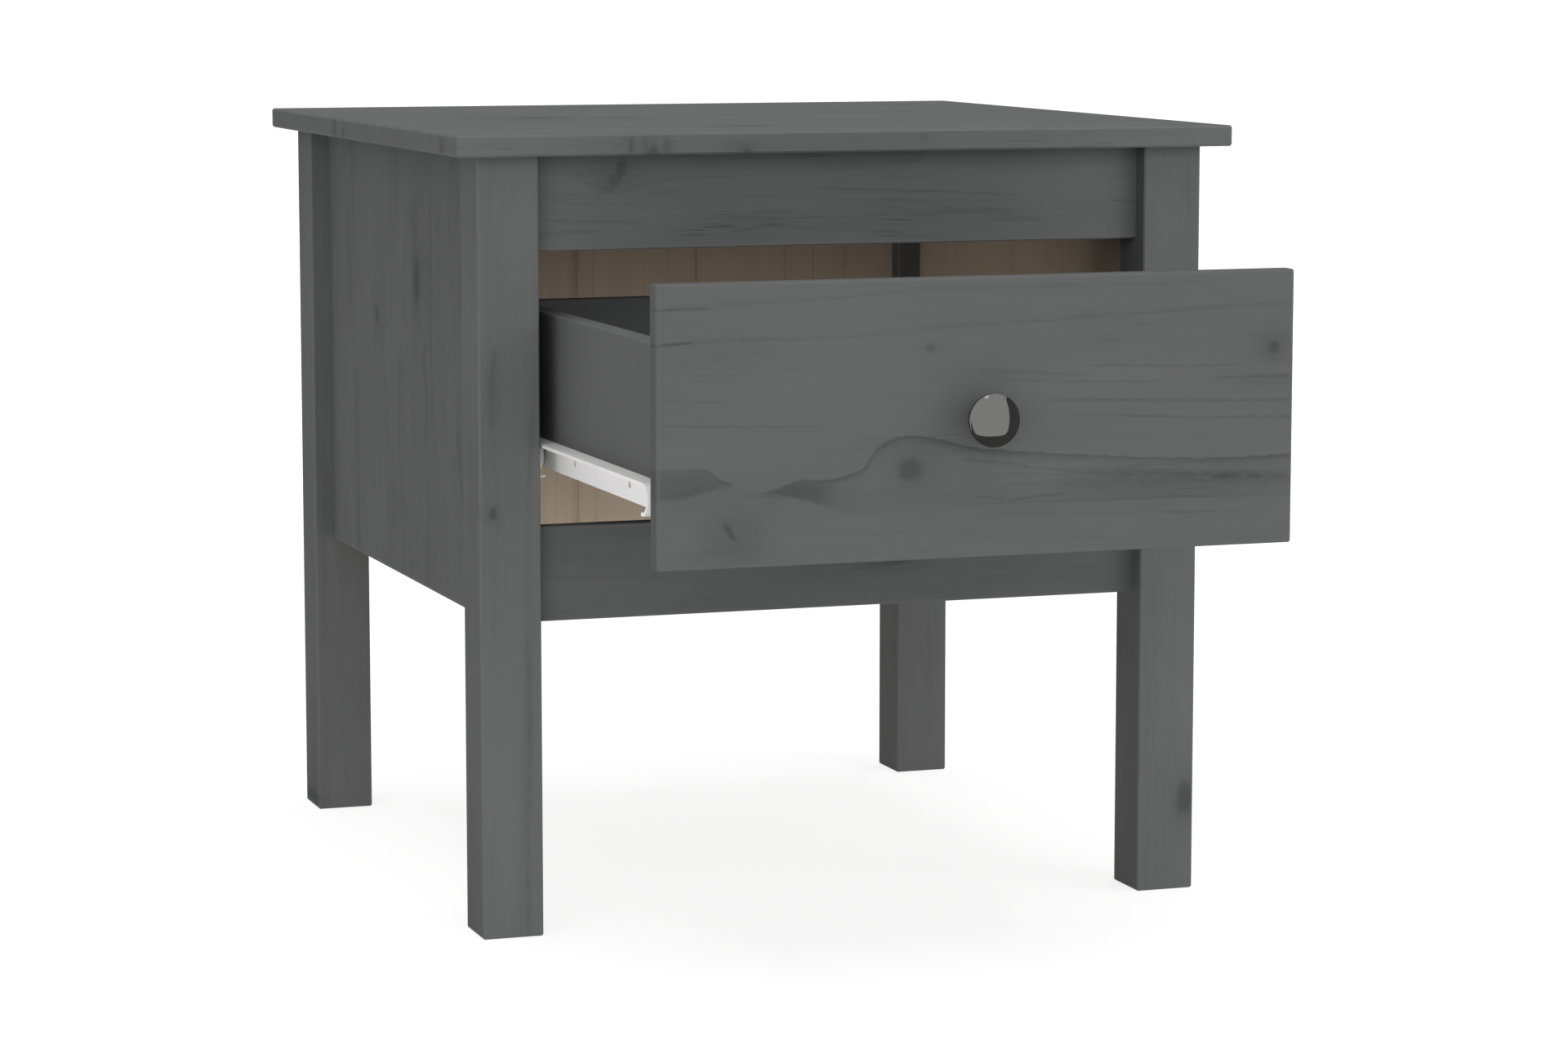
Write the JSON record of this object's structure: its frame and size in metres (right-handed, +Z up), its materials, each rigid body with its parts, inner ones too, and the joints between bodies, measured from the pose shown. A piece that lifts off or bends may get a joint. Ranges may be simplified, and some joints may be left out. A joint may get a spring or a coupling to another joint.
{
  "type": "side table",
  "caption": "Square side table on four square legs, with a panelled case and one drawer on roller runners, shown pulled part way out.",
  "frame": {"origin": "on the floor, under the middle of the top", "axes": "+Z up; +Y from the drawer front to the back; +X to the right as seen from the front"},
  "size_m": [0.5, 0.733, 0.487],
  "materials": {
    "grey_pine": "solid pine with a satin grey stain, the grain and knots showing through",
    "grey_board": "thin board with the same grey finish",
    "one_side_grey_pine": "solid pine, grey outside and bare on its inner face",
    "bare_pine": "bare sanded pine",
    "white_steel": "white epoxy-coated rolled steel",
    "white_nylon": "moulded nylon",
    "plated_steel": "zinc-plated steel",
    "beech_dowel": "fluted beech",
    "polished_metal": "polished metal"
  },
  "bodies": {
    "case": {"table_top": "grey_pine", "leg_front_left": "grey_pine", "leg_front_right": "grey_pine", "leg_back_left": "grey_pine", "leg_back_right": "grey_pine", "lower_front_rail": "grey_pine", "upper_front_rail": "grey_pine", "side_panel_left": "one_side_grey_pine", "side_panel_right": "one_side_grey_pine", "back_panel": "one_side_grey_pine", "runner_strip_left": "bare_pine", "runner_strip_right": "bare_pine", "case_runner_left": "white_steel", "case_runner_right": "white_steel", "case_rivets": "plated_steel", "rail_dowels": "beech_dowel", "rail_cam_bolts": "plated_steel", "rail_cams": "plated_steel", "top_brackets": "plated_steel"},
    "drawer": {"drawer_front": "grey_pine", "drawer_side_left": "grey_pine", "drawer_side_right": "grey_pine", "drawer_back": "grey_pine", "drawer_bottom": "grey_board", "drawer_runner_left": "white_steel", "drawer_runner_right": "white_steel", "drawer_rivets": "plated_steel", "knob": "polished_metal", "knob_screw": "plated_steel", "drawer_dowels": "beech_dowel", "drawer_cam_bolts": "plated_steel", "drawer_cams": "plated_steel"},
    "case_roller_left": {"case_roller_left": "white_nylon"},
    "case_roller_right": {"case_roller_right": "white_nylon"},
    "drawer_roller_left": {"drawer_roller_left": "white_nylon"},
    "drawer_roller_right": {"drawer_roller_right": "white_nylon"}
  },
  "joints": [
    {"name": "drawer_slide", "type": "slide", "parent": "case", "child": "drawer", "axis": [0, -1, 0], "range_m": [-0.236, 0.024]},
    {"name": "case_roller_left_spin", "type": "hinge", "parent": "case", "child": "case_roller_left", "pos_m": [-0.1899, -0.201, 0.291], "axis": [1, 0, 0], "range_deg": [-1670, 190]},
    {"name": "case_roller_right_spin", "type": "hinge", "parent": "case", "child": "case_roller_right", "pos_m": [0.1899, -0.201, 0.291], "axis": [1, 0, 0], "range_deg": [-1670, 190]},
    {"name": "drawer_roller_left_spin", "type": "hinge", "parent": "drawer", "child": "drawer_roller_left", "pos_m": [-0.1899, -0.107, 0.288], "axis": [1, 0, 0], "range_deg": [-1670, 190]},
    {"name": "drawer_roller_right_spin", "type": "hinge", "parent": "drawer", "child": "drawer_roller_right", "pos_m": [0.1899, -0.107, 0.288], "axis": [1, 0, 0], "range_deg": [-1670, 190]}
  ],
  "couplings": [
    {"joint": "case_roller_left_spin", "follows": "drawer_slide", "rad_per_m": 121.95},
    {"joint": "case_roller_right_spin", "follows": "drawer_slide", "rad_per_m": 121.95},
    {"joint": "drawer_roller_left_spin", "follows": "drawer_slide", "rad_per_m": 121.95},
    {"joint": "drawer_roller_right_spin", "follows": "drawer_slide", "rad_per_m": 121.95}
  ]
}
